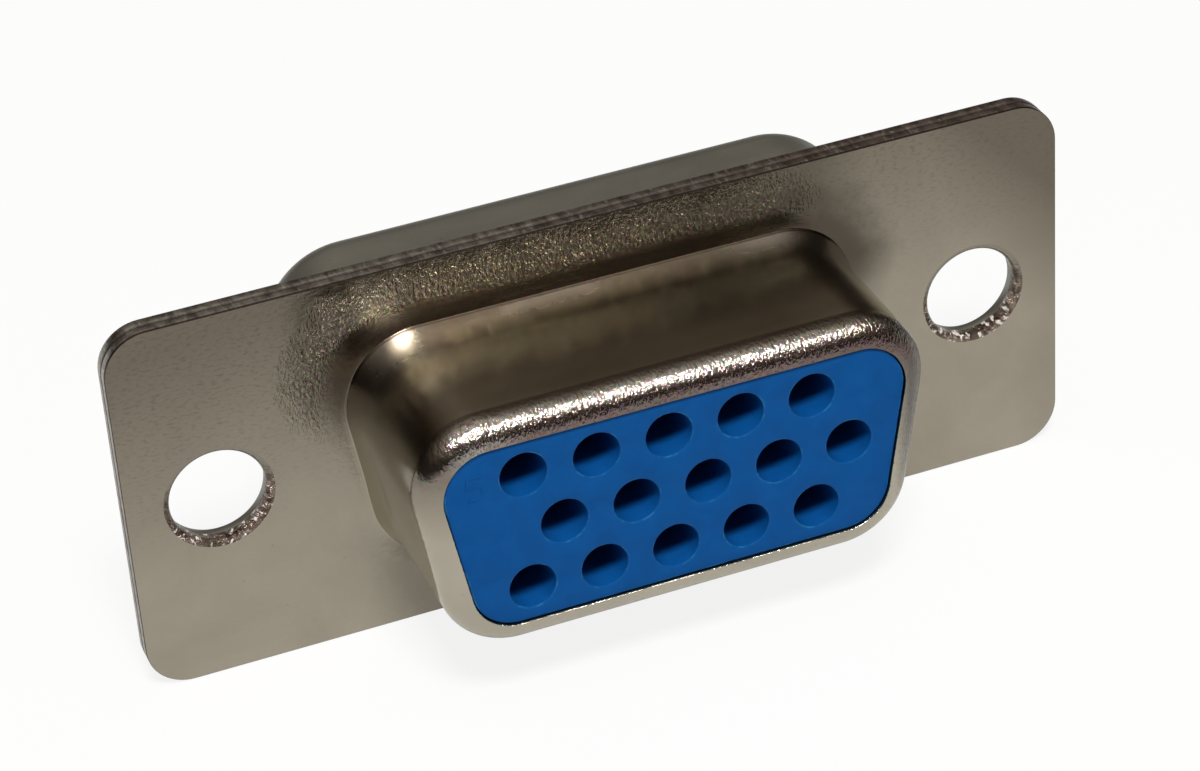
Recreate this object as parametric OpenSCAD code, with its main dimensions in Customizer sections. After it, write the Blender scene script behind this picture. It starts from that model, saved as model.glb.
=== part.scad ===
// High-density 15-way D-shaped connector, socket side.
// Two drawn steel shells clamp a two-part moulding that holds fifteen socket contacts.
// Origin: centre of the flange's mating face. X runs along the flange, Z is up with the wide side
// of the D on top, and the mating side faces -Y.

/* [Flange] */
// Length of the flange along X
flange_w = 30.81; // [30:0.01:33]
// Height of the flange along Z
flange_h = 12.5; // [12.4:0.05:14]
// Outer corner radius of the flange plates
flange_corner_r = 1.4; // [0.8:0.1:2.5]
// Sheet thickness of both shells
sheet_t = 0.42; // [0.4:0.01:0.45]
// How far each mounting hole lies inwards from the middle of the land beside the D
hole_inset = 0.1775; // [0.05:0.0025:0.25]
// Diameter of the mounting holes
hole_d = 3.05; // [2.6:0.05:3.2]
// Radius of the rounded mouth of each hole in the front plate
hole_mouth_r = 0.22; // [0.1:0.01:0.28]
// How much wider the torn wall of each front hole is at the back, on the radius
hole_tear = 0.02; // [0.01:0.005:0.04]

/* [D outline] */
// Lean of the D's sides from the vertical
side_angle = 10; // [5:1:14]

/* [Front shell] */
// Overall width of the D wall that a plug slides over
front_w = 16.3; // [15.6:0.05:17]
// Overall height of the D wall
front_h = 7.9; // [7.7:0.05:8.2]
// Outer corner radius of the D wall
front_corner_r = 2.285; // [2:0.05:2.6]
// How far the lip stands in front of the flange face
front_reach = 5.95; // [5.5:0.05:6.6]
// Concave radius where the wall leaves the flange
front_base_r = 0.2; // [0.15:0.05:0.6]
// Outer radius of the turned-in front lip
front_lip_r = 0.82; // [0.82:0.01:0.9]
// Width of the band that the lip shows from the front, less than its radius
front_lip_w = 0.785; // [0.72:0.005:0.79]

/* [Rear shell] */
// Overall width of the D body behind the flange
rear_w = 19.28; // [18.8:0.02:19.6]
// Overall height of the D body behind the flange
rear_h = 10.72; // [10.4:0.02:10.9]
// Outer corner radius of the D body
rear_corner_r = 2.76; // [2.5:0.02:3]
// Depth of the body, from the flange's mating face to its rear edge
rear_reach = 4.7; // [4.5:0.1:6]
// Concave radius where the body leaves the flange
rear_base_r = 0.3; // [0.2:0.05:0.5]
// Outer radius of the turned-in rear edge
rear_edge_r = 1.3; // [1.3:0.02:1.5]
// Width of the band that the rear edge covers, seen from behind, less than its radius
rear_lip_w = 1.25; // [1.1:0.01:1.26]

/* [Moulding] */
// Clearance between the moulding's nose and the front lip
nose_gap = 0.05; // [0.03:0.01:0.1]
// Clearance between the moulding and the shells elsewhere
fit_gap = 0.06; // [0.03:0.01:0.1]
// How far the nose's face lies behind the front of the lip
face_recess = 0.08; // [0:0.02:0.3]
// Thickness of the rim of the front half, behind the flange
rim_t = 1.17; // [1:0.05:1.4]
// How far the rear half stands out behind the rear shell
rear_stand = 1; // [0.6:0.1:3]

/* [Contact grid] */
// Spacing of the holes along a row
pitch = 2.29; // [2.2:0.01:2.35]
// Spacing of the rows
row_pitch = 1.98; // [1.9:0.01:2.05]
// Shift of the top and bottom rows from the centre of the D
outer_row_shift = -0.26; // [-0.35:0.01:-0.15]
// Diameter of the entry holes in the moulding
entry_d = 1.47; // [1.36:0.01:1.6]

/* [Contacts] */
// Outer diameter of the socket
socket_d = 1.28; // [1.1:0.02:1.32]
// Bore of the socket, for a 0.76 pin
socket_bore_d = 0.84; // [0.78:0.02:0.9]
// Depth of the socket's tip behind the moulding's face
tip_depth = 2; // [1.4:0.1:2.6]
// Depth of the socket's bore from its tip
socket_bore_depth = 4.9; // [4:0.1:5]
// Width of the slots that let the tongues spring
slot_w = 0.16; // [0.1:0.02:0.24]
// Length of the slots from the tip
slot_len = 3.3; // [2.4:0.1:3.6]
// Diameter of the collar that is trapped between the two halves
collar_d = 1.84; // [1.6:0.02:1.96]
// Diameter of the barrel and the solder cup
barrel_d = 1.06; // [0.96:0.02:1.08]
// Clearance round the barrel and the collar
contact_gap = 0.04; // [0.03:0.005:0.06]
// Bore of the solder cup
cup_bore_d = 0.8; // [0.6:0.02:0.84]
// Depth of the solder cup
cup_depth = 2; // [1.6:0.1:2.4]
// Length of the open half of the cup
cup_open = 1.5; // [1:0.1:1.6]
// How far the contacts stand out behind the moulding
contact_stand = 2.6; // [2.4:0.1:6]

/* [Hidden] */
$fn = 72;
// Length by which every cutter passes through what it cuts.
cut = 0.1;
// Depth by which the straight walls of a D reach into its core.
overlap = 1;
// Height by which the turned corners stand proud of the flats that they join.
corner_proud = 0.005;
// Gap between parts that are clamped face to face.
bridge = 0.03;
per_row = 5;
rows = 3;

// The land beside the D body is where a mounting hole has room; its middle sets the hole's place.
land_middle = (flange_w / 2 + rear_w / 2 + rear_base_r) / 2;
hole_spacing = 2 * (land_middle - hole_inset);

// Heights along the connector's axis: 0 is the flange's mating face, positive is towards the plug.
plate_back = -sheet_t;
rear_plate_back = -2 * sheet_t;

// Corner centres of the two D outlines; every outline of a shell is this one grown by a radius.
front_cz = front_h / 2 - front_corner_r;
front_cx = front_w / 2 - front_corner_r;
rear_cz = rear_h / 2 - rear_corner_r;
rear_cx = rear_w / 2 - rear_corner_r;

// Where the bends and the rounded edges of the shells are centred.
front_bend_x = front_corner_r + front_base_r;
front_edge_x = front_corner_r - front_lip_r;
front_edge_axis = front_reach - front_lip_r;
rear_bend_x = rear_corner_r + rear_base_r;
rear_bend_axis = rear_plate_back - rear_base_r;
rear_edge_x = rear_corner_r - rear_edge_r;
rear_edge_axis = -rear_reach + rear_edge_r;

// Radii from the corner centres of the front shell.
front_inner_r = front_corner_r - sheet_t;
lip_open_r = front_corner_r - front_lip_w;
nose_r = lip_open_r - nose_gap;
body_r = front_inner_r - fit_gap;

// Radii from the corner centres of the rear shell.
rear_inner_r = rear_corner_r - sheet_t;
rear_open_r = rear_corner_r - rear_lip_w;
rim_r = rear_inner_r - fit_gap;
neck_r = rear_open_r - nose_gap;

// The moulding.
face = front_reach - face_recess;
nose_base = front_reach - front_lip_r - fit_gap - cut;
rim_front = plate_back - bridge;
rim_back = rim_front - rim_t;
rear_half_front = rim_back - bridge;
neck_end = -rear_reach - rear_stand;
half_edge_r = rear_edge_r - sheet_t - fit_gap;

// The contacts.
tip = face - tip_depth;
collar_seat_d = collar_d + 2 * contact_gap;
collar_t = 0.7;
collar_back = rim_back + bridge;
collar_front = collar_back + collar_t;
contact_end = neck_end - contact_stand;
rear_bore_d = barrel_d + 2 * contact_gap;
tip_chamfer = 0.08;

function row_of(n) = floor((n - 1) / per_row);
function place_in_row(n) = (n - 1) % per_row;
function row_z(row) = ((rows - 1) / 2 - row) * row_pitch;
function row_shift(row) = outer_row_shift + (row == 1 ? pitch / 2 : 0);
// Position 1 is at the right-hand end of the top row, seen from the mating side.
function contact_x(n) = row_shift(row_of(n)) + ((per_row - 1) / 2 - place_in_row(n)) * pitch;
function contact_z(n) = row_z(row_of(n));

// Outline of a D: the trapezoid of corner centres, grown by a radius.
module d_outline(cx, cz, r) {
    low_cx = cx - 2 * cz * tan(side_angle);
    nx = r * cos(side_angle);
    nz = r * sin(side_angle);
    polygon([[cx, cz + r], [-cx, cz + r], [-cx - nx, cz - nz], [-low_cx - nx, -cz - nz],
        [-low_cx, -cz - r], [low_cx, -cz - r], [low_cx + nx, -cz - nz], [cx + nx, cz - nz]]);
    for (s = [-1, 1]) {
        translate([s * cx, cz])
            circle(r + corner_proud);
        translate([s * low_cx, -cz])
            circle(r + corner_proud);
    }
}

// A straight-sided D between two heights.
module d_block(cx, cz, r, from, to) {
    translate([0, 0, from])
        linear_extrude(to - from)
            d_outline(cx, cz, r);
}

// A D with a shaped side: the first child is the half section that is turned at the four corners,
// the second the same section reaching further in, for the straight walls between them.
module shaped_d(cx, cz, from, to) {
    low_cx = cx - 2 * cz * tan(side_angle);
    side_len = 2 * cz / cos(side_angle);
    for (s = [-1, 1]) {
        translate([s * cx, cz, 0])
            rotate_extrude()
                children(0);
        translate([s * low_cx, -cz, 0])
            rotate_extrude()
                children(0);
    }
    translate([cx, cz, 0])
        rotate([0, 0, -side_angle])
            rotate([90, 0, 0])
                linear_extrude(side_len)
                    children(1);
    translate([-cx, cz, 0])
        rotate([0, 0, 90])
            rotate([90, 0, 0])
                linear_extrude(2 * cx)
                    children(1);
    translate([-low_cx, -cz, 0])
        rotate([0, 0, 180 + side_angle])
            rotate([90, 0, 0])
                linear_extrude(side_len)
                    children(1);
    translate([low_cx, -cz, 0])
        rotate([0, 0, -90])
            rotate([90, 0, 0])
                linear_extrude(2 * low_cx)
                    children(1);
    translate([0, 0, from])
        linear_extrude(to - from)
            polygon([[cx, cz], [-cx, cz], [-low_cx, -cz], [low_cx, -cz]]);
}

// Half section inside one skin of a drawn shell. Its X is the distance out from the corner
// centres, its Y the height along the axis. It runs from the foot in the flange, round a bend whose
// axis is at bend_axis, up the wall, and round the far edge about edge_axis. x0 is where it starts.
module skin_section(x0, proud, way, foot, bend_x, bend_axis, bend_r, wall_x, edge_x, edge_axis, edge_r) {
    difference() {
        translate([x0, min(foot, bend_axis)])
            square([bend_x + proud - x0, abs(bend_axis - foot)]);
        translate([bend_x + proud, bend_axis])
            circle(bend_r);
    }
    translate([x0, min(bend_axis, edge_axis)])
        square([wall_x + proud - x0, abs(edge_axis - bend_axis)]);
    translate([x0, way > 0 ? edge_axis : edge_axis - edge_r])
        square([edge_x + proud - x0, edge_r]);
    translate([edge_x + proud, edge_axis])
        intersection() {
            circle(edge_r);
            translate([0, way > 0 ? 0 : -edge_r])
                square(edge_r);
        }
}

// The front shell's outer skin and the space inside it.
module front_outer(x0, proud) {
    skin_section(x0, proud, 1, plate_back, front_bend_x, front_base_r, front_base_r,
        front_corner_r, front_edge_x, front_edge_axis, front_lip_r);
}

module front_inner(x0, proud) {
    skin_section(x0, proud, 1, plate_back - cut, front_bend_x, front_base_r, front_base_r + sheet_t,
        front_inner_r, front_edge_x, front_edge_axis, front_lip_r - sheet_t);
    translate([x0, front_edge_axis])
        square([lip_open_r + proud - x0, front_lip_r + cut]);
}

// The rear shell's outer skin and the space inside it.
module rear_outer(x0, proud) {
    skin_section(x0, proud, -1, plate_back, rear_bend_x, rear_bend_axis, rear_base_r,
        rear_corner_r, rear_edge_x, rear_edge_axis, rear_edge_r);
}

module rear_inner(x0, proud) {
    skin_section(x0, proud, -1, plate_back + cut, rear_bend_x, rear_bend_axis, rear_base_r + sheet_t,
        rear_inner_r, rear_edge_x, rear_edge_axis, rear_edge_r - sheet_t);
    translate([x0, -rear_reach - cut])
        square([rear_open_r + proud - x0, rear_edge_r + cut]);
}

// The moulding's rear half, rounded to follow the rear edge of the shell.
module rear_half_section(x0, proud) {
    translate([x0, rear_edge_axis])
        square([rim_r + proud - x0, rear_half_front - rear_edge_axis]);
    translate([x0, rear_edge_axis - half_edge_r])
        square([rear_edge_x + proud - x0, half_edge_r]);
    translate([rear_edge_x + proud, rear_edge_axis])
        intersection() {
            circle(half_edge_r);
            translate([0, -half_edge_r])
                square(half_edge_r);
        }
}

// Outline of a flange plate.
module flange_outline() {
    square([flange_w - 2 * flange_corner_r, flange_h], center = true);
    square([flange_w, flange_h - 2 * flange_corner_r], center = true);
    for (sx = [-1, 1])
        for (sy = [-1, 1])
            translate([sx * (flange_w / 2 - flange_corner_r), sy * (flange_h / 2 - flange_corner_r)])
                circle(flange_corner_r);
}

// The flat blank of a flange plate.
module flange_blank(back) {
    translate([0, 0, back])
        linear_extrude(sheet_t)
            flange_outline();
}

// The straight mounting holes of the rear plate.
module rear_holes() {
    for (s = [-1, 1])
        translate([s * hole_spacing / 2, 0, rear_plate_back - cut])
            cylinder(d = hole_d, h = sheet_t + 2 * cut);
}

// The punched mounting holes of the front plate: a rounded mouth, then a wall that tears wider.
module front_holes() {
    land = sheet_t - hole_mouth_r;
    back_r = hole_d / 2 + hole_tear * (land + cut) / land;
    mouth_x = hole_d / 2 + hole_mouth_r;
    for (s = [-1, 1])
        translate([s * hole_spacing / 2, 0, 0])
            rotate_extrude()
                difference() {
                    polygon([[0, plate_back - cut], [back_r, plate_back - cut], [hole_d / 2, -hole_mouth_r],
                        [mouth_x, -hole_mouth_r], [mouth_x, cut], [0, cut]]);
                    translate([mouth_x, -hole_mouth_r])
                        circle(hole_mouth_r);
                }
}

// Puts something at every contact position.
module at_contacts() {
    for (n = [1 : per_row * rows])
        translate([contact_x(n), contact_z(n), 0])
            children();
}

// Turns the construction, made along Z, so that the mating side faces -Y.
module to_frame() {
    rotate([90, 0, 0])
        children();
}

module front_shell() {
    color("silver")
        to_frame()
            difference() {
                union() {
                    flange_blank(plate_back);
                    shaped_d(front_cx, front_cz, plate_back, front_reach) {
                        front_outer(0, corner_proud);
                        front_outer(-overlap, 0);
                    }
                }
                shaped_d(front_cx, front_cz, plate_back - cut, front_reach + cut) {
                    front_inner(0, corner_proud);
                    front_inner(-overlap, 0);
                }
                front_holes();
            }
}

module rear_shell() {
    color("gainsboro")
        to_frame()
            difference() {
                union() {
                    flange_blank(rear_plate_back);
                    shaped_d(rear_cx, rear_cz, -rear_reach, plate_back) {
                        rear_outer(0, corner_proud);
                        rear_outer(-overlap, 0);
                    }
                }
                shaped_d(rear_cx, rear_cz, -rear_reach - cut, plate_back + cut) {
                    rear_inner(0, corner_proud);
                    rear_inner(-overlap, 0);
                }
                rear_holes();
            }
}

module front_insulator() {
    color("steelblue")
        to_frame()
            difference() {
                union() {
                    d_block(front_cx, front_cz, nose_r, nose_base, face);
                    d_block(front_cx, front_cz, body_r, rim_front, nose_base);
                    d_block(rear_cx, rear_cz, rim_r, rim_back, rim_front);
                }
                at_contacts() {
                    translate([0, 0, rim_back - cut])
                        cylinder(d = entry_d, h = face - rim_back + 2 * cut);
                    translate([0, 0, rim_back - cut])
                        cylinder(d = collar_seat_d, h = collar_front + contact_gap - rim_back + cut);
                }
            }
}

module rear_insulator() {
    color("royalblue")
        to_frame()
            difference() {
                union() {
                    shaped_d(rear_cx, rear_cz, rear_edge_axis - half_edge_r, rear_half_front) {
                        rear_half_section(0, corner_proud);
                        rear_half_section(-overlap, 0);
                    }
                    d_block(rear_cx, rear_cz, neck_r, neck_end, rear_edge_axis);
                }
                at_contacts()
                    translate([0, 0, neck_end - cut])
                        cylinder(d = rear_bore_d, h = rear_half_front - neck_end + 2 * cut);
            }
}

// One socket contact on its own axis. The cup opens upwards, or downwards in the bottom row.
module contact_form(cup_side) {
    difference() {
        union() {
            translate([0, 0, collar_back])
                cylinder(d = socket_d, h = tip - collar_back);
            translate([0, 0, collar_back])
                cylinder(d = collar_d, h = collar_t);
            translate([0, 0, contact_end])
                cylinder(d = barrel_d, h = collar_back - contact_end);
        }
        translate([0, 0, tip - socket_bore_depth])
            cylinder(d = socket_bore_d, h = socket_bore_depth + cut);
        translate([0, 0, tip - tip_chamfer])
            cylinder(d1 = socket_bore_d, d2 = socket_bore_d + 4 * tip_chamfer, h = 2 * tip_chamfer);
        translate([-slot_w / 2, -socket_d, tip - slot_len])
            cube([slot_w, 2 * socket_d, slot_len + cut]);
        translate([0, 0, contact_end - cut])
            cylinder(d = cup_bore_d, h = cup_depth + cut);
        translate([-barrel_d, cup_side > 0 ? 0 : -barrel_d, contact_end - cut])
            cube([2 * barrel_d, barrel_d, cup_open + cut]);
    }
}

module contact_at(n) {
    color("goldenrod")
        to_frame()
            translate([contact_x(n), contact_z(n), 0])
                contact_form(row_of(n) == rows - 1 ? -1 : 1);
}

module contact_01() { contact_at(1); }
module contact_02() { contact_at(2); }
module contact_03() { contact_at(3); }
module contact_04() { contact_at(4); }
module contact_05() { contact_at(5); }
module contact_06() { contact_at(6); }
module contact_07() { contact_at(7); }
module contact_08() { contact_at(8); }
module contact_09() { contact_at(9); }
module contact_10() { contact_at(10); }
module contact_11() { contact_at(11); }
module contact_12() { contact_at(12); }
module contact_13() { contact_at(13); }
module contact_14() { contact_at(14); }
module contact_15() { contact_at(15); }

front_shell();
rear_shell();
front_insulator();
rear_insulator();
contact_01();
contact_02();
contact_03();
contact_04();
contact_05();
contact_06();
contact_07();
contact_08();
contact_09();
contact_10();
contact_11();
contact_12();
contact_13();
contact_14();
contact_15();
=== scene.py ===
"""Looks of the high-density D-shaped connector: plated steel shells, blue moulding, gold contacts.

Meshes and materials are written in millimetres of the row frame. A point of a mesh is (x, d, z), where d
runs towards the plug, against y. A section is a list of (r, d), and an outline a list of (x, z).
"""
import math

import bpy
import bmesh
from mathutils import Matrix, Vector
from mathutils.geometry import delaunay_2d_cdt


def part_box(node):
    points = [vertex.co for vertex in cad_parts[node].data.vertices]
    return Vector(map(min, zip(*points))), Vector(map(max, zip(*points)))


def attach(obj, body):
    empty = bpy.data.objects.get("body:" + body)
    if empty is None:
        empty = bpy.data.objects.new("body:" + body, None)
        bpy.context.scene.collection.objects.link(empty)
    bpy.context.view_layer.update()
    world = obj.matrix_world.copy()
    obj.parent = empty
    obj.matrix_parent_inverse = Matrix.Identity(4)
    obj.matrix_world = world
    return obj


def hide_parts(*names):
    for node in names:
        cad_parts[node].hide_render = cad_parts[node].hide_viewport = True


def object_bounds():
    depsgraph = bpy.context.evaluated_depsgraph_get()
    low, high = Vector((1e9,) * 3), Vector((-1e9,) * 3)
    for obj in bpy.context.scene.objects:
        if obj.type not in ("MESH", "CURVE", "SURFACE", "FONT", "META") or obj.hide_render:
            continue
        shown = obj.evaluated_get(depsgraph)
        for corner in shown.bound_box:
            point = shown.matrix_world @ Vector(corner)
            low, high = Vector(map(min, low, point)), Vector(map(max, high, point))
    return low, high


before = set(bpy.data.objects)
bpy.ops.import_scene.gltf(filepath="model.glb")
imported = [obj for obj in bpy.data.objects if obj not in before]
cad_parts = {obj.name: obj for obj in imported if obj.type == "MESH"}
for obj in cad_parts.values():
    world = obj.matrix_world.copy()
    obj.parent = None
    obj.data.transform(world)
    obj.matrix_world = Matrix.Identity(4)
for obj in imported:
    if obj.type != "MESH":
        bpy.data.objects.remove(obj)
cad_low, cad_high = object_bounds()

MM = 0.001

# ---------------------------------------------------------------- sizes, in millimetres
shell_low, shell_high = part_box("front_shell")
_, rear_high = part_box("rear_shell")
FLANGE_W = (shell_high.x - shell_low.x) / MM
FLANGE_H = (shell_high.z - shell_low.z) / MM
FRONT_REACH = -shell_low.y / MM
REAR_REACH = rear_high.y / MM
SHEET = 0.42                # thickness of both sheets
FLANGE_R = 1.4              # corners of the flange
HOLE_X = 24.99 / 2          # mounting holes, their mouths, and the wider holes of the rear sheet
HOLE_R = 3.05 / 2
MOUTH_R = 0.22
REAR_HOLE_R = HOLE_R + 0.08
LEAN = math.radians(10)     # of the D's sides
FRONT_R = 2.285             # front D: corners and their centres, base bend, flare, lip
FRONT_CX = 16.3 / 2 - FRONT_R
FRONT_CZ = 7.9 / 2 - FRONT_R
FRONT_BASE = 0.2
FLARE = 0.18
FLARE_H = 1.2
LIP_R = 0.82
LIP_W = 0.785
LIP_FROM = FRONT_REACH - LIP_R
UNEVEN = 0.05               # measure of the swellings of the front D's foot
REAR_R = 2.76               # rear D: corners and their centres, base bend, rear edge
REAR_CX = 19.28 / 2 - REAR_R
REAR_CZ = 10.72 / 2 - REAR_R
REAR_BASE = 0.3
EDGE_R = 1.3
EDGE_W = 1.25
PITCH = 2.29                # entries: pitch, rows, shift of the outer rows, radius
ROW = 1.98
SHIFT = -0.26
ENTRY_R = 1.47 / 2
RIM_T = 1.17                # moulding: rim behind the flange, recess of its face, clearances
RECESS = 0.08
NOSE_GAP = 0.05
FIT_GAP = 0.06


# ---------------------------------------------------------------- mesh helpers
class Solid:
    """Collects rings of points and the skins between them."""

    def __init__(self):
        self.points = []
        self.faces = []
        self.slots = []
        self.slot = 0

    def face(self, corners):
        self.faces.append(corners)
        self.slots.append(self.slot)

    def ring(self, outline, d):
        start = len(self.points)
        self.points += [(x, d, z) for x, z in outline]
        return list(range(start, start + len(outline)))

    def skin(self, a, b):
        n = len(a)
        for i in range(n):
            j = (i + 1) % n
            self.face((a[i], a[j], b[j], b[i]))

    def loft(self, outlines, slot=0, first=math.inf):
        """Rings from a list of (outline, d), with skins between them. The first of these take the slot."""
        rings = [self.ring(o, d) for o, d in outlines]
        for k, (a, b) in enumerate(zip(rings, rings[1:])):
            self.slot = slot if k < first else 0
            self.skin(a, b)
        self.slot = 0
        return rings

    def stroke(self, path, half, low, high):
        """A closed raised stroke along a path in (x, z), with mitred corners and narrower at the top."""
        top_share = 0.88
        left, right = [], []
        for k, (x, z) in enumerate(path):
            before, after = path[max(k - 1, 0)], path[min(k + 1, len(path) - 1)]
            normals = []
            for a, b in ((before, (x, z)), ((x, z), after)):
                length = math.hypot(b[0] - a[0], b[1] - a[1])
                if length:
                    normals.append(((a[1] - b[1]) / length, (b[0] - a[0]) / length))
            nx, nz = (sum(n[i] for n in normals) / len(normals) for i in (0, 1))
            mitre = half / (nx * nx + nz * nz)
            left.append((x + nx * mitre, z + nz * mitre))
            right.append((x - nx * mitre, z - nz * mitre))

        def slim(side, other):
            return [(x * top_share + u * (1 - top_share), z * top_share + v * (1 - top_share))
                    for (x, z), (u, v) in zip(side, other)]

        foot, head = left + right[::-1], slim(left, right) + slim(right, left)[::-1]
        bottom, top = self.loft([(foot, low), (head, high)])
        self.fill(bottom)
        self.fill(top)

    def fill(self, outer, holes=()):
        """Triangles between the outer ring and the holes, all at one height."""
        loops = [outer] + list(holes)
        index, coords, edges = [], [], []
        for loop in loops:
            start = len(coords)
            for k, i in enumerate(loop):
                x, _, z = self.points[i]
                coords.append(Vector((x, z)))
                index.append(i)
                edges.append((start + k, start + (k + 1) % len(loop)))
        out = delaunay_2d_cdt(coords, edges, [], 1, 1e-7)
        back = [o[0] if o else None for o in out[3]]
        rims = [[self.points[i] for i in loop] for loop in loops]
        for face in out[2]:
            if any(back[k] is None for k in face):
                continue
            mid_x = sum(out[0][k][0] for k in face) / len(face)
            mid_z = sum(out[0][k][1] for k in face) / len(face)
            if inside(mid_x, mid_z, rims[0]) and not any(inside(mid_x, mid_z, r) for r in rims[1:]):
                self.face(tuple(index[back[k]] for k in face))

    def build(self, name, sharp=35):
        """The object, in metres, smooth but for edges sharper than this angle."""
        mesh = bpy.data.meshes.new(name)
        mesh.from_pydata([(x * MM, -d * MM, z * MM) for x, d, z in self.points], [], self.faces)
        mesh.polygons.foreach_set("material_index", self.slots)
        bm = bmesh.new()
        bm.from_mesh(mesh)
        bmesh.ops.remove_doubles(bm, verts=bm.verts, dist=1e-8)
        bmesh.ops.recalc_face_normals(bm, faces=bm.faces)
        bm.to_mesh(mesh)
        bm.free()
        mesh.polygons.foreach_set("use_smooth", [True] * len(mesh.polygons))
        mesh.set_sharp_from_angle(angle=math.radians(sharp))
        obj = bpy.data.objects.new(name, mesh)
        bpy.context.scene.collection.objects.link(obj)
        weighted = obj.modifiers.new("Flat faces stay flat", "WEIGHTED_NORMAL")
        weighted.keep_sharp = True
        weighted.weight = 60
        return obj


def inside(x, z, rim):
    """Whether a point lies inside a closed rim of points."""
    hit = False
    n = len(rim)
    for i in range(n):
        x1, _, z1 = rim[i]
        x2, _, z2 = rim[(i + 1) % n]
        if (z1 > z) != (z2 > z) and x < (x2 - x1) * (z - z1) / (z2 - z1) + x1:
            hit = not hit
    return hit


def straight(a, b, steps):
    """The points of a line between a and b, without its ends."""
    return [(a[0] + (b[0] - a[0]) * i / steps, a[1] + (b[1] - a[1]) * i / steps) for i in range(1, steps)]


def rounded(corners, r, steps):
    """An outline of arcs and straight sides. A corner is (x, z, start, end, steps of the side after it)."""
    out = []
    for k, (x, z, start, end, side_steps) in enumerate(corners):
        for i in range(steps + 1):
            a = start + (end - start) * i / steps
            out.append((x + r * math.cos(a), z + r * math.sin(a)))
        next_x, next_z = corners[(k + 1) % len(corners)][:2]
        out += straight(out[-1], (next_x + r * math.cos(end), next_z + r * math.sin(end)), side_steps)
    return out


def d_outline(cx, cz, r):
    """The D, with its upper corner centres at (+-cx, cz) and the corner radius r."""
    low = cx - 2 * cz * math.tan(LEAN)
    top, side = 30, 12
    return rounded([(cx, cz, -LEAN, math.pi / 2, top),
                    (-cx, cz, math.pi / 2, math.pi + LEAN, side),
                    (-low, -cz, math.pi + LEAN, 1.5 * math.pi, top),
                    (low, -cz, 1.5 * math.pi, 2 * math.pi - LEAN, side)], r, 22)


def flange_outline(inset=0.0):
    """The flange's rounded rectangle, drawn in by an inset."""
    r = FLANGE_R - inset
    w, h = FLANGE_W / 2 - inset - r, FLANGE_H / 2 - inset - r
    quarter = math.pi / 2
    long, short = 40, 16
    return rounded([(w, h, 0, quarter, long), (-w, h, quarter, 2 * quarter, short),
                    (-w, -h, 2 * quarter, 3 * quarter, long), (w, -h, 3 * quarter, 4 * quarter, short)], r, 14)


def circle(cx, cz, r, n=64):
    """A circle of n points."""
    turn = 2 * math.pi / n
    return [(cx + r * math.cos(turn * i), cz + r * math.sin(turn * i)) for i in range(n)]


def arc(cx, cd, r, start, end, steps):
    """Points (r, d) on an arc of a section, angles in degrees from the outward direction towards the plug."""
    out = []
    for i in range(steps + 1):
        a = math.radians(start + (end - start) * i / steps)
        out.append((cx + r * math.cos(a), cd + r * math.sin(a)))
    return out


def d_loft(solid, cx, cz, section, uneven=0.0, until=1.0, slot=0, first=math.inf):
    """Rings of the D along a section. Those below the height until can run unevenly, most at the foot."""
    step = 0.1
    rings = []
    for r, d in section:
        outline = d_outline(cx, cz, r)
        swell = uneven * max(0.0, 1 - d / until) / step
        if swell:
            inner = d_outline(cx, cz, r - step)
            outline = [(x + (x - a) * swell * waver(x, z), z + (z - b) * swell * waver(x, z))
                       for (x, z), (a, b) in zip(outline, inner)]
        rings.append((outline, d))
    return solid.loft(rings, slot, first)


def waver(x, z):
    """How the foot swells: a slow wave of a quarter at most, none at the top, and far more at the lower left."""
    side = max(0.0, min(1.0, (-x - 5) / 3)) * max(0.0, 1 - abs(z + 2.2) / 2.6)
    low = max(0.0, min(1.0, 1 - z / 2))
    return 0.25 * low * math.sin(2.9 * z - 0.8 * x) + 2.4 * side


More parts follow.
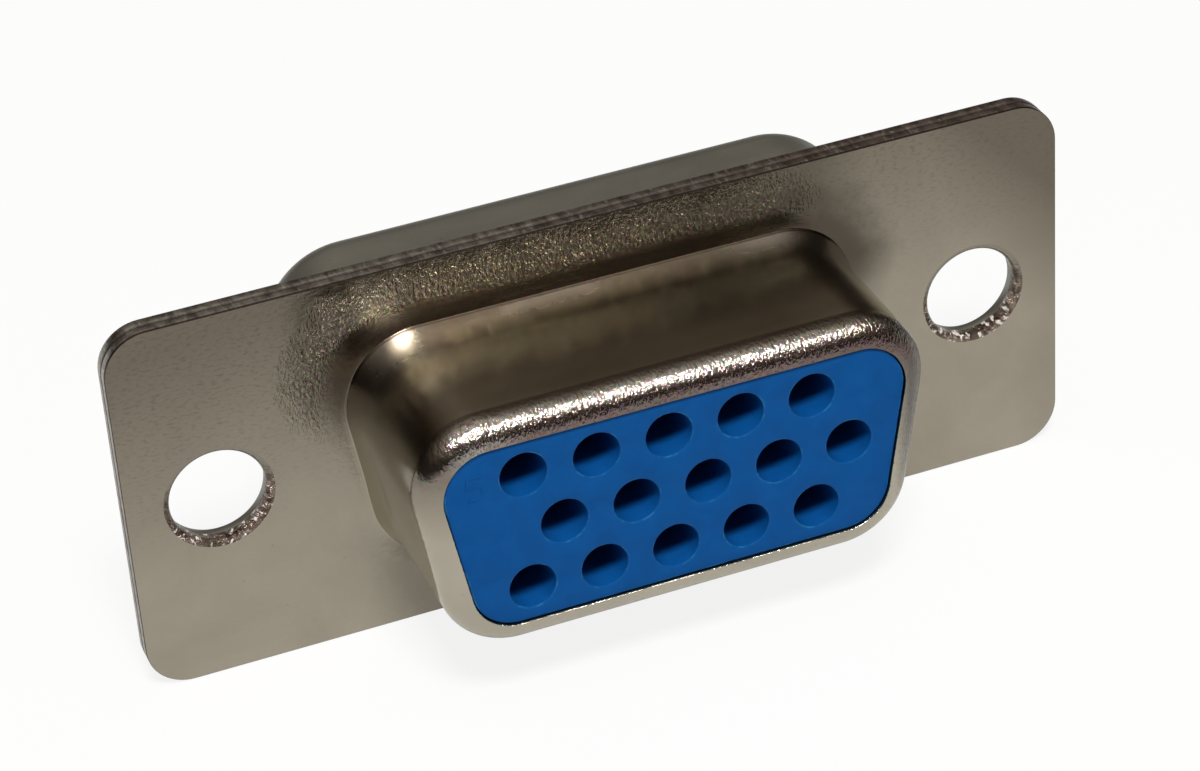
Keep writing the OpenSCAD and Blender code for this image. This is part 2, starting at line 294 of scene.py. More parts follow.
# ---------------------------------------------------------------- front shell
def front_shell():
    """One sheet: from the flange up the D's wall, over the lip, back inside, and out under the flange."""
    s = Solid()
    axis = LIP_FROM
    end = math.degrees(math.acos((LIP_R - LIP_W) / LIP_R))
    inner_r = LIP_R - SHEET
    inner_end = math.degrees(math.acos((LIP_R - LIP_W) / inner_r))
    open_r = FRONT_R - LIP_W
    foot = FRONT_R + FRONT_BASE
    heights = (0.035, 0.06, 0.1, 0.16, 0.24, 0.34, 0.46, 0.6, 0.76, 0.94, 1.14, 1.3)
    outer = [(foot + 0.16, 0), (foot + 0.10, 0), (foot + 0.07, 0.002), (foot + 0.035, 0.003),
             (foot + 0.01, 0.004), (foot - 0.008, 0.013)]
    outer += [(FRONT_R + FLARE * max(0, 1 - d / FLARE_H) ** 2, d) for d in heights]
    outer += straight((FRONT_R, heights[-1]), (FRONT_R, axis), 7)
    lip = arc(FRONT_R - LIP_R, axis, LIP_R, 0, end, 14)
    outer += lip
    outer += [(open_r - 0.012, lip[-1][1] - 0.012), (open_r - 0.015, lip[-1][1] - 0.05)]
    under = axis + math.sqrt(inner_r ** 2 - (LIP_R - LIP_W) ** 2)
    outer += [(open_r, under)]
    outer += arc(FRONT_R - LIP_R, axis, inner_r, inner_end, 0, 8)[1:]
    outer += straight((FRONT_R - SHEET, axis), (FRONT_R - SHEET, FRONT_BASE), 6)
    outer += arc(foot, FRONT_BASE, FRONT_BASE + SHEET, -180, -90, 10)
    rings = d_loft(s, FRONT_CX, FRONT_CZ, outer, UNEVEN)
    edge = [(0.012, 0), (0.004, -0.003), (0, -0.01), (0, -0.2), (0.004, -0.34), (0.012, -SHEET)]
    plate = s.loft([(flange_outline(i), d) for i, d in edge], 1)
    holes = []
    mouth = [(HOLE_R + MOUTH_R, 0), (HOLE_R + MOUTH_R * 0.80, -0.006)]
    for degrees in range(20, 91, 10):
        a = math.radians(degrees)
        mouth.append((HOLE_R + MOUTH_R - MOUTH_R * math.sin(a), -MOUTH_R + MOUTH_R * math.cos(a)))
    mouth += [(HOLE_R + 0.004, -0.3), (HOLE_R + 0.012, -SHEET)]
    for x in (-HOLE_X, HOLE_X):
        hole = s.loft([(circle(x, 0, r, 96), d) for r, d in mouth], 2)
        collar = s.ring(circle(x, 0, HOLE_R + MOUTH_R + 0.05, 96), 0)
        s.skin(collar, hole[0])
        holes.append([collar] + hole)
    s.fill(plate[0], [rings[0]] + [h[0] for h in holes])
    s.fill(plate[-1], [rings[-1]] + [h[-1] for h in holes])
    return s.build("front_shell_skin")


# ---------------------------------------------------------------- rear shell
def rear_shell():
    """The second sheet, flat against the first: its flange, the larger D behind, and the rounded rear edge."""
    s = Solid()
    axis = -REAR_REACH + EDGE_R
    bend = -2 * SHEET - REAR_BASE
    end = math.degrees(math.acos((EDGE_R - EDGE_W) / EDGE_R))
    inner_r = EDGE_R - SHEET
    inner_end = math.degrees(math.acos((EDGE_R - EDGE_W) / inner_r))
    foot = REAR_R + REAR_BASE
    skin = arc(foot, bend, REAR_BASE, 90, 180, 9)
    skin += straight((REAR_R, bend), (REAR_R, axis), 5)
    skin += arc(REAR_R - EDGE_R, axis, EDGE_R, 0, -end, 18)
    skin += arc(REAR_R - EDGE_R, axis, inner_r, -inner_end, 0, 12)
    skin += straight((REAR_R - SHEET, axis), (REAR_R - SHEET, bend), 4)
    skin += arc(foot, bend, REAR_BASE + SHEET, 180, 90, 9)
    rings = d_loft(s, REAR_CX, REAR_CZ, skin)
    edge = [(0.012, -SHEET), (0, -SHEET - 0.02), (0, -0.6), (0.006, -0.76), (0.02, -0.82), (0.05, -2 * SHEET)]
    plate = s.loft([(flange_outline(i), d) for i, d in edge], 1)
    wall = [(REAR_HOLE_R + 0.03, -SHEET), (REAR_HOLE_R + 0.008, -SHEET - 0.01), (REAR_HOLE_R, -SHEET - 0.035),
            (REAR_HOLE_R, -0.6), (REAR_HOLE_R + 0.004, -0.8), (REAR_HOLE_R + 0.03, -2 * SHEET)]
    holes = [s.loft([(circle(x, 0, r), d) for r, d in wall]) for x in (-HOLE_X, HOLE_X)]
    s.fill(plate[0], [rings[-1]] + [h[0] for h in holes])
    s.fill(plate[-1], [rings[0]] + [h[-1] for h in holes])
    return s.build("rear_shell_skin")


# ---------------------------------------------------------------- front moulding
def hole_places():
    """The 15 entries: three rows of five, the middle one half a pitch aside."""
    for row in range(3):
        for k in range(5):
            x = SHIFT + (PITCH / 2 if row == 1 else 0) + (2 - k) * PITCH
            yield x, (1 - row) * ROW


def front_moulding():
    """The nose in the D with its entries, the rim behind the flange, and a raised 5 by the top row."""
    s = Solid()
    face = FRONT_REACH - RECESS
    nose_r = FRONT_R - LIP_W - NOSE_GAP
    body_r = FRONT_R - SHEET - FIT_GAP
    rim_r = REAR_R - SHEET - FIT_GAP
    base = LIP_FROM - FIT_GAP - 0.1
    rim = -SHEET - 0.03
    nose = [(nose_r - 0.05, face), (nose_r - 0.02, face - 0.008), (nose_r - 0.004, face - 0.022),
            (nose_r, face - 0.05), (nose_r, base)]
    body = [(body_r - 0.04, base), (body_r, base - 0.04), (body_r, rim)]
    top = d_loft(s, FRONT_CX, FRONT_CZ, nose + body, slot=1, first=2)
    flank = [(rim_r - 0.05, rim), (rim_r, rim - 0.05), (rim_r, rim - RIM_T + 0.05), (rim_r - 0.05, rim - RIM_T)]
    back = d_loft(s, REAR_CX, REAR_CZ, flank)
    s.fill(back[0], [top[-1]])
    wall = [(ENTRY_R + 0.05, face), (ENTRY_R + 0.02, face - 0.008), (ENTRY_R + 0.004, face - 0.024),
            (ENTRY_R, face - 0.055), (ENTRY_R, face - 1.2), (ENTRY_R, face - 2.4), (ENTRY_R, rim - RIM_T)]
    holes = [s.loft([(circle(x, z, r, 56), d) for r, d in wall], 1, 2) for x, z in hole_places()]
    s.fill(top[0], [h[0] for h in holes])
    s.fill(back[-1], [h[-1] for h in holes])
    x, z = SHIFT - 2 * PITCH - 1.78, ROW - 0.42
    five = [(0.50, 0.78), (0.06, 0.78), (0.02, 0.44), (0.30, 0.50),
            (0.48, 0.38), (0.50, 0.18), (0.36, 0.02), (0.04, 0.02)]
    s.stroke([(x + u, z + v) for u, v in five], half=0.045, low=face - 0.02, high=face + 0.018)
    return s.build("front_moulding")


# ---------------------------------------------------------------- node helpers
def scaled(tint, *factors):
    """A tint times one factor, or times one factor for each channel."""
    return tuple(c * k for c, k in zip(tint, factors * 3 if len(factors) == 1 else factors))


class Tree:
    """A short way to write a node tree."""

    def __init__(self, tree):
        self.tree = tree
        tree.nodes.clear()

    def add(self, kind, inputs=None, **props):
        node = self.tree.nodes.new(kind)
        for key, value in props.items():
            setattr(node, key, value)
        for key, value in (inputs or {}).items():
            self.set(node.inputs[key], value)
        return node

    def set(self, socket, value):
        """A value may be a node, a socket or a constant. A colour may have three channels."""
        if isinstance(value, bpy.types.Node):
            value = value.outputs[0]
        if isinstance(value, bpy.types.NodeSocket):
            self.tree.links.new(value, socket)
        elif socket.type == "RGBA" and len(value) == 3:
            socket.default_value = tuple(value) + (1,)
        else:
            socket.default_value = value

    def ramp(self, value, *stops):
        """A colour ramp. Each stop is a place and a grey or a colour."""
        node = self.add("ShaderNodeValToRGB", {"Fac": value})
        elements = node.color_ramp.elements
        while len(elements) < len(stops):
            elements.new(0.5)
        for element, (place, colour) in zip(elements, stops):
            element.position = place
            element.color = (tuple(colour) if isinstance(colour, tuple) else (colour,) * 3) + (1,)
        return node.outputs["Color"]

    def mix(self, fac, a, b, blend="MIX"):
        node = self.add("ShaderNodeMix", data_type="RGBA", blend_type=blend)
        for key, value in (("Factor", fac), ("A", a), ("B", b)):
            kinds = ("VALUE",) if key == "Factor" else ("RGBA",)
            self.set(next(i for i in node.inputs if i.name == key and i.type in kinds and i.enabled), value)
        return next(o for o in node.outputs if o.type == "RGBA" and o.enabled)

    def span(self, value, low, high, start=0.0, end=1.0):
        """start at low and end at high, and the same beyond them."""
        ends = {"From Min": low, "From Max": high, "To Min": start, "To Max": end}
        return self.add("ShaderNodeMapRange", {"Value": value, **ends}).outputs[0]

    def window(self, value, rise, full, fade, gone):
        """0 before rise, 1 from full to fade, and 0 beyond gone."""
        return self.product(self.span(value, rise, full), self.span(value, fade, gone, 1.0, 0.0))

    def math(self, operation, a, b=0.0, c=None):
        values = (a, b) if c is None else (a, b, c)
        return self.add("ShaderNodeMath", dict(enumerate(values)), operation=operation).outputs[0]

    def larger(self, a, b):
        return self.math("MAXIMUM", a, b)

    def product(self, *factors):
        value = factors[0]
        for factor in factors[1:]:
            value = self.math("MULTIPLY", value, factor)
        return value

    def length(self, a, b):
        return self.math("SQRT", self.math("ADD", self.product(a, a), self.product(b, b)))


class Material(Tree):
    """The node tree of a new material. x, y and z are millimetres of the row frame."""

    def __init__(self, name):
        self.material = bpy.data.materials.new(name)
        self.material.use_nodes = True
        super().__init__(self.material.node_tree)
        coords = self.add("ShaderNodeTexCoord").outputs["Object"]
        self.mm = self.add("ShaderNodeVectorMath", {0: coords, "Scale": 1000.0}, operation="SCALE")
        self.x, self.y, self.z = self.add("ShaderNodeSeparateXYZ", {0: self.mm}).outputs[:]

    def noise(self, stretch, scale, detail=2.0, roughness=0.5, distortion=0.0):
        """A noise from about 0 to 1. Its grains are about 1 / (stretch * scale) millimetres long."""
        place = self.add("ShaderNodeMapping", {"Vector": self.mm, "Scale": stretch})
        settings = {"Scale": scale, "Detail": detail, "Roughness": roughness, "Distortion": distortion}
        return self.add("ShaderNodeTexNoise", {"Vector": place, **settings}).outputs["Fac"]

    def stain(self, colour, mask, tint, *factors):
        """The colour, turned to the scaled tint where the mask says."""
        return self.mix(mask, colour, scaled(tint, *factors))

    def bump(self, height, strength, distance):
        inputs = {"Height": height, "Strength": strength, "Distance": distance}
        return self.add("ShaderNodeBump", inputs).outputs["Normal"]

    def finish(self, **inputs):
        """Gives the material a Principled shader with these inputs, and returns it."""
        shader = self.add("ShaderNodeBsdfPrincipled", {k.replace("_", " "): v for k, v in inputs.items()})
        self.add("ShaderNodeOutputMaterial", {"Surface": shader})
        return self.material


# ---------------------------------------------------------------- materials
def outside_d(m):
    """How far a point lies outside the wall of the front D, seen from the front."""
    half = m.math("MULTIPLY_ADD", m.z, math.tan(LEAN), FRONT_CX - math.tan(LEAN) * FRONT_CZ)
    aside = m.larger(m.math("SUBTRACT", m.math("ABSOLUTE", m.x), half), 0.0)
    over = m.larger(m.math("SUBTRACT", m.math("ABSOLUTE", m.z), FRONT_CZ), 0.0)
    return m.math("SUBTRACT", m.length(aside, over), FRONT_R)


def plated_steel(name, tint):
    """Drawn sheet, plated. The flange has an orange peel and painted shade that grows towards its top, with
    short dark streaks in it. Above the D, where the sheet was drawn, the skin is coarse like leather, with
    painted glints, a painted reflection and painted shade. The drawn walls are smoother and unevenly darkened
    by painted shade, with a painted highlight along the foot and a painted glow by the left corner. Where the
    sheet turns in over the lip it is strained, and its grain is coarse again."""
    m = Material(name)
    x, z, d = m.x, m.z, m.math("MULTIPLY", m.y, -1.0)
    lip_end = LIP_FROM + LIP_R
    away = outside_d(m)

    # where things are: the flange's face, the lip, the drawn area with its ragged limit
    face = m.span(d, 0.02, 0.12, 1.0, 0.0)
    lip = m.span(d, LIP_FROM - 0.15, LIP_FROM + 0.25)
    before_lip = m.span(d, LIP_FROM - 0.5, LIP_FROM, 1.0, 0.0)
    ragged = m.math("MULTIPLY_ADD", m.noise((1, 1, 1), 1.1, 3.0, 0.6), -1.4, m.math("ADD", away, 0.7))
    drawn = m.product(m.span(ragged, 1.1, 2.5, 1.0, 0.0), m.span(z, 0.8, 3.4), face,
                      m.span(x, 6.0, 7.8, 1.0, 0.0))

    # grains, from coarse to fine
    cloud = m.noise((1, 1, 1), 0.24, 4.0, 0.6, 0.5)
    wave = m.noise((1, 1, 1), 0.3, 2.0, 0.5)
    peel = m.noise((1.0, 1.0, 3.0), 2.3, 3.0, 0.55, 0.8)
    streaks = m.noise((2.4, 1.0, 6.0), 2.0, 3.0, 0.55, 0.3)
    specks = m.noise((1, 1, 1.4), 5.0, 1.0, 0.4)
    leather = m.noise((1.5, 1.0, 0.9), 6.5, 2.0, 0.6, 0.4)
    grain = m.noise((1.3, 0.5, 0.6), 9.5, 2.0, 0.65)
    fine = m.noise((1, 1, 1), 16.0, 3.0, 0.6)
    film_settings = {"Vector": m.mm, "Scale": 6.0, "Detail": 2.0, "Roughness": 0.6}
    film = m.add("ShaderNodeTexNoise", film_settings).outputs["Color"]

    # the flange: clouds, specks, painted shade growing upwards and to the right end, streaks in it
    up = m.math("MULTIPLY_ADD", x, -0.11, z)
    right_end = m.larger(m.span(x, 8.0, 15.0, 0.0, 0.42), m.span(m.math("ADD", x, z), 13.0, 18.5, 0.35, 1.0))
    # painted shade: the flange darker towards its top and towards its right end
    flange_shade = m.product(m.larger(m.span(up, -5.5, 7.0, 0.0, 0.96), right_end), face)
    marks = m.product(m.ramp(streaks, (0.50, 0.0), (0.72, 0.55)), m.span(up, 0.0, 6.0, 0.08, 1.0), face)
    colour = m.mix(m.ramp(cloud, (0.34, 0.0), (0.66, 1.0)), scaled(tint, 0.92), scaled(tint, 1.06))
    colour = m.stain(colour, m.ramp(specks, (0.77, 0.0), (0.83, 0.6)), tint, 0.4)
    colour = m.stain(colour, flange_shade, tint, 0.37, 0.345, 0.33)
    colour = m.stain(colour, marks, tint, 0.22, 0.19, 0.19)

    # the drawn area: warm, with painted glints in dots and a painted reflection of the corner's highlight over
    # the left corner, and painted shade at both its ends
    warm = m.product(m.span(x, -7.6, -5.2, 0.0, 0.45), m.span(x, 0.5, 5.0, 1.0, 0.0))
    # painted glints: light and dark dots over the drawn area
    glint_dots = m.span(m.noise((1.5, 1.0, 1.0), 6.0, 2.0, 0.6, 0.3), 0.38, 0.62, 0.45, 1.5)
    # painted reflection of the corner's highlight: a pale patch on the flange over the left corner
    from_glow = m.length(m.math("ADD", x, 7.0), m.math("ADD", z, -4.9))
    # painted shade at both ends of the drawn area
    left_shade = m.product(m.window(x, -10.0, -8.8, -7.9, -7.4), m.span(z, 1.5, 3.0),
                         m.span(z, 5.0, 6.0, 1.0, 0.3), face, 0.42)
    right_shade = m.product(m.span(x, 1.5, 5.2, 0.03, 0.62), m.span(x, 7.2, 9.0, 1.0, 0.0),
                          m.span(z, 3.2, 4.2), face)
    # painted shade along the crease at the D's foot
    crease = m.product(m.span(away, 0.28, 0.80, 0.85, 0.0), m.span(d, 0.05, 0.12, 1.0, 0.0),
                       m.span(z, 1.2, 3.2))
    colour = m.stain(colour, m.product(drawn, warm), tint, 0.86, 0.75, 0.66)
    colour = m.mix(m.product(drawn, m.span(away, 0.5, 1.1, 0.0, 0.8)), colour, glint_dots, "MULTIPLY")
    colour = m.stain(colour, m.span(from_glow, 0.15, 0.85, 0.55, 0.0), tint, 1.25, 1.2, 1.0)
    colour = m.stain(colour, left_shade, tint, 0.20, 0.175, 0.17)
    colour = m.stain(colour, right_shade, tint, 0.20, 0.185, 0.17)
    colour = m.stain(colour, crease, tint, 0.31, 0.25, 0.225)

    # the D's upper wall: a painted highlight along the foot, then painted shade, dark to the right and
    # darkest in the half by the flange
    foot = m.product(m.span(d, 0.3, 1.1, 1.0, 0.0), m.span(d, 0.06, 0.14), m.span(z, 3.0, 3.9))
    foot_right = m.product(m.span(x, 3.6, 5.0, 0.35, 0.8), m.span(x, 6.2, 6.8, 1.0, 0.3))
    foot_left = m.product(m.span(x, -4.6, -3.0, 0.0, 0.7), m.span(x, -0.5, 1.0, 1.0, 0.0))
    # painted highlight along the foot of the D's upper wall; it is also rougher there
    foot_highlight = m.product(foot, m.larger(foot_right, foot_left))
    # painted shade on the upper wall: dark to the right, darkest in the half by the flange
    roof_shade = m.product(m.window(d, 0.0, 0.7, LIP_FROM + 0.28, LIP_FROM + 0.56), m.span(z, 3.4, 3.6),
                     m.span(x, -6.0, -2.5, 0.15, 0.62), m.span(x, 4.0, 6.2, 1.0, 0.0))
    deep_shade_right = m.product(m.span(x, -4.4, 0.5, 0.0, 0.74), m.span(x, 3.0, 5.6, 1.0, 0.35))
    deep_shade_left = m.product(m.span(x, -5.6, -4.6, 0.0, 0.42), m.span(d, 1.1, 1.7))
    deep_shade = m.product(m.window(d, 0.3, 1.2, 2.6, 4.0), m.larger(deep_shade_right, deep_shade_left), m.span(z, 3.6, 3.93))
    colour = m.mix(foot_highlight, colour, (0.82, 0.77, 0.72))
    colour = m.stain(colour, roof_shade, tint, 0.50, 0.47, 0.42)
    colour = m.stain(colour, deep_shade, tint, 0.14, 0.135, 0.12)

    # the lip and the corner: neutral on top, with painted shade where the lip begins, at its right end
    # and by the moulding
    lip_top = m.product(lip, m.span(z, 1.8, 3.0, 0.0, 0.7))
    # painted shade where the lip begins
    eave_shade = m.product(m.window(d, LIP_FROM - 0.2, LIP_FROM + 0.1, LIP_FROM + 0.22, LIP_FROM + 0.48),
                     m.span(z, 3.0, 3.3), m.span(x, -6.6, -5.4, 0.0, 0.62))
    # painted glow round the highlight on the left corner; the corner is also rougher there
    corner_glow = m.product(m.span(x, -5.2, -6.3), m.span(z, 2.9, 3.5), m.window(d, 0.05, 0.15, 0.9, 1.9))
    right_lip = m.product(lip, m.span(x, 6.9, 7.5), m.span(z, -3.2, -1.8))
    # painted shade on the lip's right end, where its highlight fades
    shaded_end = m.product(lip, m.span(x, 3.0, 6.8, 0.0, 0.6), m.span(z, 1.6, 2.6))
    # painted shade on the lip by the moulding, in place of a reflected light band
    brow_shade = m.product(m.span(d, lip_end - 0.26, lip_end - 0.10, 0.0, 0.78), m.span(z, 2.0, 3.0),
                     m.span(x, -6.4, -4.6, 0.2, 1.0))
    colour = m.mix(lip_top, colour, (0.50, 0.47, 0.455))
    colour = m.stain(colour, eave_shade, tint, 0.30, 0.28, 0.26)
    colour = m.mix(m.product(corner_glow, 0.7), colour, (0.80, 0.775, 0.76))
    colour = m.stain(colour, m.product(right_lip, 0.95), tint, 0.30, 0.31, 0.36)
    colour = m.stain(colour, shaded_end, tint, 0.28, 0.25, 0.23)
    colour = m.stain(colour, brow_shade, tint, 0.30, 0.20, 0.24)

    # painted reflection of the D's dark sides on the flange beside it, a darker patch above its right corner,
    # painted shade under its left one
    beside = m.product(m.window(z, -0.8, 1.6, 2.7, 3.8), m.span(m.math("ABSOLUTE", x), 5.0, 7.5))
    # painted reflection of the D's dark sides on the flange beside them
    mirrored_shade = m.product(m.span(away, 0.1, 1.6, 0.85, 0.0), face, beside,
                       m.larger(m.span(x, 0.0, 1.0), m.span(z, 0.6, 2.2)))
    # a darker patch on the flange above the D's right corner
    dark_right_patch = m.product(m.span(ragged, 0.4, 1.9, 0.85, 0.0), face, m.span(x, 5.4, 6.6), m.span(z, 1.4, 2.6))
    under = m.product(m.span(z, -2.9, -4.0), m.span(x, -3.5, -5.0), face, m.span(away, 0.1, 1.0, 0.8, 0.0))
    colour = m.stain(colour, mirrored_shade, tint, 0.23, 0.205, 0.20)
    colour = m.stain(colour, dark_right_patch, tint, 0.19, 0.175, 0.17)
    colour = m.stain(colour, under, tint, 0.22, 0.16, 0.14)

    # the D's left side: painted shade that darkens upwards; the lip: dark pits and a thin coloured film
    wall_side_shade = m.product(m.span(z, -1.0, 1.2, 0.0, 0.58), m.span(d, 0.0, 2.5, 0.5, 1.0), before_lip)
    lip_side_shade = m.product(m.span(z, 0.4, 2.4, 0.0, 0.6), m.span(d, LIP_FROM - 0.5, LIP_FROM))
    # painted shade on the D's left side and lip, darker upwards
    side = m.product(m.math("ADD", wall_side_shade, lip_side_shade), m.span(x, -6.2, -7.1), m.span(d, 0.04, 0.15))
    pits = m.product(m.ramp(grain, (0.38, 0.5), (0.52, 0.0)), lip, m.larger(m.span(z, 1.6, 2.8), right_lip),
                     m.span(x, -7.2, -6.2))
    tinted = m.larger(m.product(lip, m.span(z, 1.6, 2.8, 0.0, 0.35)), m.product(drawn, 0.45))
    colour = m.stain(colour, side, tint, 0.22, 0.18, 0.16)
    colour = m.stain(colour, pits, tint, 0.30, 0.24, 0.25)
    colour = m.mix(tinted, colour, film, "OVERLAY")

    # relief, in millimetres, and roughness; the drawn grain keeps off the crease and the bright corner
    near_corner = m.product(m.span(x, -4.6, -5.6), m.span(away, 1.2, 0.8, 0.0, 0.75))
    coarse = m.product(drawn, m.span(away, 0.62, 1.2, 0.03, 1.0), m.math("SUBTRACT", 1.0, near_corner))
    strained = m.product(grain, lip, m.span(x, -7.5, -6.4, 0.2, 1.0))
    height = m.product(m.math("MULTIPLY_ADD", peel, 0.008, m.product(streaks, 0.003)), face)
    for relief, depth in ((m.product(m.math("SUBTRACT", leather, 0.35), coarse), 0.13), (wave, 0.02),
                          (fine, 0.0008), (strained, 0.050)):
        height = m.math("MULTIPLY_ADD", relief, depth, height)
    blurred = m.larger(coarse, m.larger(foot_highlight, m.product(corner_glow, 0.65)))
    rough = m.math("MULTIPLY_ADD", blurred, 0.15, m.math("MULTIPLY_ADD", peel, 0.06, 0.17))
    return m.finish(Base_Color=colour, Metallic=1.0, Roughness=rough, Normal=m.bump(height, 1.0, MM))


def dull_steel(name, tint):
    """The rear sheet: the same plating, left dull by the tool, with a fine even grain."""
    m = Material(name)
    cloud = m.noise((0.6, 1, 1), 0.5, 4.0, 0.6, 0.4)
    specks = m.noise((1, 1, 1), 6.0, 1.0, 0.4)
    fine = m.noise((1, 1, 1), 14.0, 3.0, 0.6)
    colour = m.mix(m.ramp(cloud, (0.34, 0.0), (0.66, 1.0)), scaled(tint, 0.9), scaled(tint, 1.08))
    colour = m.stain(colour, m.ramp(specks, (0.76, 0.0), (0.82, 0.5)), tint, 0.5)
    rough = m.math("MULTIPLY_ADD", fine, 0.12, 0.42)
    return m.finish(Base_Color=colour, Metallic=1.0, Roughness=rough, Normal=m.bump(fine, 1.0, 0.002 * MM))


def sheared_edge(name, left, right):
    """The cut edge of both sheets: striations across its thickness, dark torn patches and bright flecks, painted
    shade in a dark line at the front corner, and a dark line between the sheets. It turns from one tint to the
    other."""
    m = Material(name)
    streak = m.noise((7.0, 0.8, 7.0), 1.0, 3.0, 0.6)
    torn = m.noise((2.2, 1.2, 2.2), 1.3, 3.0, 0.6)
    fleck = m.noise((5.5, 1.6, 5.5), 1.2, 2.0, 0.6)
    seam = m.math("ABSOLUTE", m.math("SUBTRACT", m.y, SHEET))
    colour = m.mix(m.span(m.x, -5.0, 7.0), left, right)
    colour = m.mix(m.ramp(torn, (0.36, 0.65), (0.60, 0.0)), colour, (0.12, 0.085, 0.075))
    colour = m.mix(m.ramp(fleck, (0.58, 0.0), (0.70, 0.8)), colour, (0.70, 0.68, 0.63))
    # painted shade: a dark line along the front corner, where the bevel would catch light
    colour = m.mix(m.span(m.y, 0.06, 0.13, 0.95, 0.0), colour, (0.045, 0.030, 0.030))
    colour = m.mix(m.span(seam, 0.03, 0.07, 0.85, 0.0), colour, (0.10, 0.08, 0.07))
    height = m.math("MULTIPLY_ADD", streak, 0.02, m.product(torn, 0.012))
    rough = m.math("MULTIPLY_ADD", torn, 0.2, 0.3)
    return m.finish(Base_Color=colour, Metallic=1.0, Roughness=rough, Normal=m.bump(height, 1.0, MM))


def torn_hole(name, tint, skin):
    """The mouth and wall of a punched hole: smooth like the skin above, below rough, brown and torn, with
    dull white flecks low down that are painted glints."""
    m = Material(name)
    low = m.span(m.z, -0.5, 1.0, 1.0, 0.0)
    tear = m.noise((1.0, 0.6, 1.0), 8.0, 3.0, 0.65, 0.5)
    spot = m.noise((1, 0.6, 1), 3.0, 2.0, 0.6)
    flecks = m.ramp(m.noise((1.0, 0.5, 1.0), 4.2, 2.0, 0.6), (0.55, 0.0), (0.62, 0.9))
    # painted glints: dull white flecks, not metal, on the lower wall only
    glint = m.product(flecks, m.span(m.z, -0.9, -0.3, 1.0, 0.0))
    colour = m.mix(m.ramp(spot, (0.42, 0.0), (0.62, 1.0)), scaled(tint, 0.30, 0.24, 0.22), tint)
    colour = m.stain(colour, m.ramp(tear, (0.40, 0.6), (0.52, 0.0)), tint, 0.25)
    colour = m.mix(low, skin, colour)
    colour = m.mix(glint, colour, (0.88, 0.83, 0.79))
    height = m.product(tear, m.math("MULTIPLY_ADD", low, 0.95, 0.05))
    return m.finish(Base_Color=colour, Metallic=m.math("SUBTRACT", 1.0, glint), Roughness=0.15,
                    Normal=m.bump(height, 1.0, 0.2 * MM))


def blue_plastic(name):
    """Moulded plastic with faint flow marks and a fine dull grain."""
    m = Material(name)
    fine = m.noise((1, 1, 1), 20.0, 3.0, 0.6)
    flow = m.noise((1, 0.4, 1), 1.3, 3.0, 0.5, 0.6)
    colour = m.mix(m.ramp(flow, (0.3, 0.0), (0.7, 1.0)), (0.0022, 0.067, 0.246), (0.0032, 0.077, 0.280))
    height = m.math("MULTIPLY_ADD", fine, 0.0012, m.product(flow, 0.012))
    rough = m.math("MULTIPLY_ADD", fine, 0.14, 0.40)
    return m.finish(Base_Color=colour, Roughness=rough, Specular_IOR_Level=0.05, Normal=m.bump(height, 1.0, MM))


def burr_and_highlight_blue(name):
    """The rims left by the mould: in places a thin burr, painted a lighter blue as a highlight."""
    m = Material(name)
    where = m.noise((1, 1, 1), 1.7, 3.0, 0.7)
    # painted highlight: lighter blue where the burr would catch the light
    colour = m.mix(m.ramp(where, (0.50, 0.0), (0.64, 0.8)), (0.0028, 0.072, 0.26), (0.020, 0.15, 0.33))
    return m.finish(Base_Color=colour, Roughness=0.45, Specular_IOR_Level=0.08,
                    Normal=m.bump(where, 1.0, 0.03 * MM))


def gold(name):
    """Turned contacts, plated: rings across their length and a slow change of colour."""
    m = Material(name)
    turned = m.noise((0.4, 14.0, 0.4), 2.0, 2.0, 0.5)
    cloud = m.noise((1, 1, 1), 1.6, 2.0, 0.5)
    colour = m.mix(m.ramp(cloud, (0.3, 0.0), (0.7, 1.0)), (0.72, 0.50, 0.20), (0.90, 0.68, 0.32))
    rough = m.math("MULTIPLY_ADD", turned, 0.12, 0.2)
    return m.finish(Base_Color=colour, Metallic=1.0, Roughness=rough, Normal=m.bump(turned, 0.1, 0.01 * MM))


# ---------------------------------------------------------------- dress the model
STEEL = (0.50, 0.463, 0.372)
DULL_STEEL = (0.415, 0.412, 0.362)
edge_steel = sheared_edge("sheared_edge", (0.50, 0.48, 0.43), (0.33, 0.28, 0.245))
torn_steel = torn_hole("torn_hole", (0.42, 0.345, 0.285), scaled(STEEL, 0.55))

front = front_shell()
front.data.materials.append(plated_steel("plated_steel_front", STEEL))
front.data.materials.append(edge_steel)
front.data.materials.append(torn_steel)
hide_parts("front_shell")
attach(front, "root")

rear = rear_shell()
rear.data.materials.append(dull_steel("plated_steel_rear", DULL_STEEL))
rear.data.materials.append(edge_steel)
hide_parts("rear_shell")
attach(rear, "root")

moulding = front_moulding()
blue = blue_plastic("blue_plastic")
moulding.data.materials.append(blue)
moulding.data.materials.append(burr_and_highlight_blue("burr_and_highlight_blue"))
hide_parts("front_insulator")
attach(moulding, "root")

gilt = gold("gold_plating")
for node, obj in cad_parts.items():
    if node == "rear_insulator" or node.startswith("contact_"):
        obj.data.materials.clear()
        obj.data.materials.append(blue if node == "rear_insulator" else gilt)


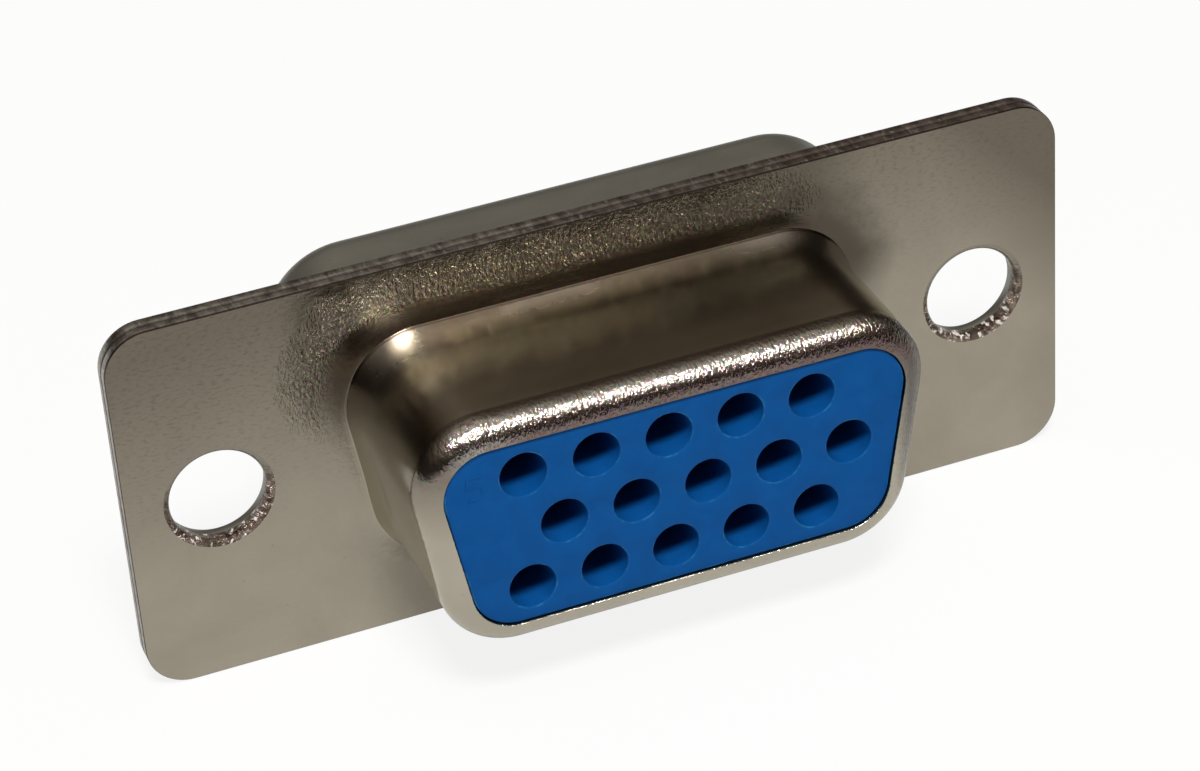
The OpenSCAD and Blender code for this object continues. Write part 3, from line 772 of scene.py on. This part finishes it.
# ---------------------------------------------------------------- floor, light and camera
FLOOR_SIZE = 2.4                 # metres
FLOOR_DROP = 0.00002             # below the object's lowest point
FLOOR_GREY = 0.8
FLOOR_GLOW_SEEN = 0.86           # share of the floor that glows white for the camera; the rest keeps shadows
FLOOR_GLOW_MIRRORED = 0.6        # the same share for reflections
GLOW_MIRRORED = 0.68             # strength of the glow in reflections; it is 1 for the camera
SKY = [(0.0, (0.014, 0.011, 0.009)), (0.38, (0.026, 0.020, 0.016)), (0.54, (0.110, 0.086, 0.066)),
       (0.74, (0.27, 0.235, 0.20)), (0.92, (0.55, 0.52, 0.48)), (1.0, (0.62, 0.59, 0.55))]
KEY_PLACE = (-0.045, -0.20, 0.35)           # metres
KEY_SIZE = (0.10, 0.08)
KEY_WATTS = 1.6
KEY_COLOUR = (1.0, 0.99, 0.985)
CAMERA_PLACE = (-34.13, -95.97, 65.63)      # millimetres
CAMERA_RIGHT, CAMERA_DOWN = (0.9268, -0.3703, -0.0629), (-0.2499, -0.4829, -0.8393)
CAMERA_AHEAD = (0.2804, 0.7936, -0.5401)
CAMERA_LENS, CAMERA_SENSOR = 118.2, 36


def floor():
    """A pale floor under the object. It looks white to the camera, less so in reflections, and keeps
    the object's shadow."""
    mesh = bpy.data.meshes.new("floor")
    half, level = FLOOR_SIZE / 2, cad_low.z - FLOOR_DROP
    corners = [(-half, -half, level), (half, -half, level), (half, half, level), (-half, half, level)]
    mesh.from_pydata(corners, [], [(0, 1, 2, 3)])
    obj = bpy.data.objects.new("floor", mesh)
    bpy.context.scene.collection.objects.link(obj)
    material = bpy.data.materials.new("pale_floor")
    material.use_nodes = True
    t = Tree(material.node_tree)
    path = t.add("ShaderNodeLightPath").outputs
    mirrored = t.larger(t.span(path["Is Glossy Ray"], 0, 1, 0, FLOOR_GLOW_MIRRORED),
                        t.span(path["Is Transmission Ray"], 0, 1, 0, FLOOR_GLOW_MIRRORED))
    share = t.larger(t.span(path["Is Camera Ray"], 0, 1, 0, FLOOR_GLOW_SEEN), mirrored)
    diffuse = t.add("ShaderNodeBsdfDiffuse", {"Color": (FLOOR_GREY,) * 3})
    glow = t.add("ShaderNodeEmission", {"Strength": t.span(path["Is Camera Ray"], 0, 1, GLOW_MIRRORED, 1)})
    mixed = t.add("ShaderNodeMixShader", {0: share, 1: diffuse, 2: glow})
    t.add("ShaderNodeOutputMaterial", {"Surface": mixed})
    mesh.materials.append(material)


def key_softbox():
    """A lamp high in front, a little to the left, that looks at the object's middle."""
    data = bpy.data.lights.new("key_softbox", "AREA")
    data.shape = "RECTANGLE"
    data.size, data.size_y = KEY_SIZE
    data.energy = KEY_WATTS
    data.color = KEY_COLOUR
    obj = bpy.data.objects.new("key_softbox", data)
    bpy.context.scene.collection.objects.link(obj)
    obj.location = KEY_PLACE
    obj.rotation_mode = "QUATERNION"
    obj.rotation_quaternion = (-Vector(KEY_PLACE)).to_track_quat("-Z", "Y")


def studio():
    """A studio that is dark behind and at eye level and lighter above the front, and white to the camera,
    with a key softbox high in front."""
    world = bpy.data.worlds.new("studio")
    bpy.context.scene.world = world
    world.use_nodes = True
    t = Tree(world.node_tree)
    way = t.add("ShaderNodeSeparateXYZ", {0: t.add("ShaderNodeTexCoord").outputs["Generated"]}).outputs
    ahead = t.span(way[1], 0.3, -0.6, 0.9, 1.7)
    light = t.add("ShaderNodeVectorMath", {0: t.ramp(way[2], *SKY), "Scale": ahead}, operation="SCALE")
    seen = t.mix(t.add("ShaderNodeLightPath").outputs["Is Camera Ray"], light, (1, 1, 1))
    t.add("ShaderNodeOutputWorld", {0: t.add("ShaderNodeBackground", {"Color": seen})})
    key_softbox()


def camera():
    """The photograph's camera. Its axes are the image's right and down, and the way it looks."""
    data = bpy.data.cameras.new("camera")
    data.sensor_width = CAMERA_SENSOR
    data.lens = CAMERA_LENS
    data.clip_start, data.clip_end = 0.002, 10
    obj = bpy.data.objects.new("camera", data)
    bpy.context.scene.collection.objects.link(obj)
    turn = Matrix((CAMERA_RIGHT, [-c for c in CAMERA_DOWN], [-c for c in CAMERA_AHEAD])).transposed()
    obj.matrix_world = Matrix.Translation(Vector(CAMERA_PLACE) * MM) @ turn.to_4x4()
    bpy.context.scene.camera = obj


floor()
studio()
camera()
bpy.context.scene.view_settings.view_transform = "Standard"
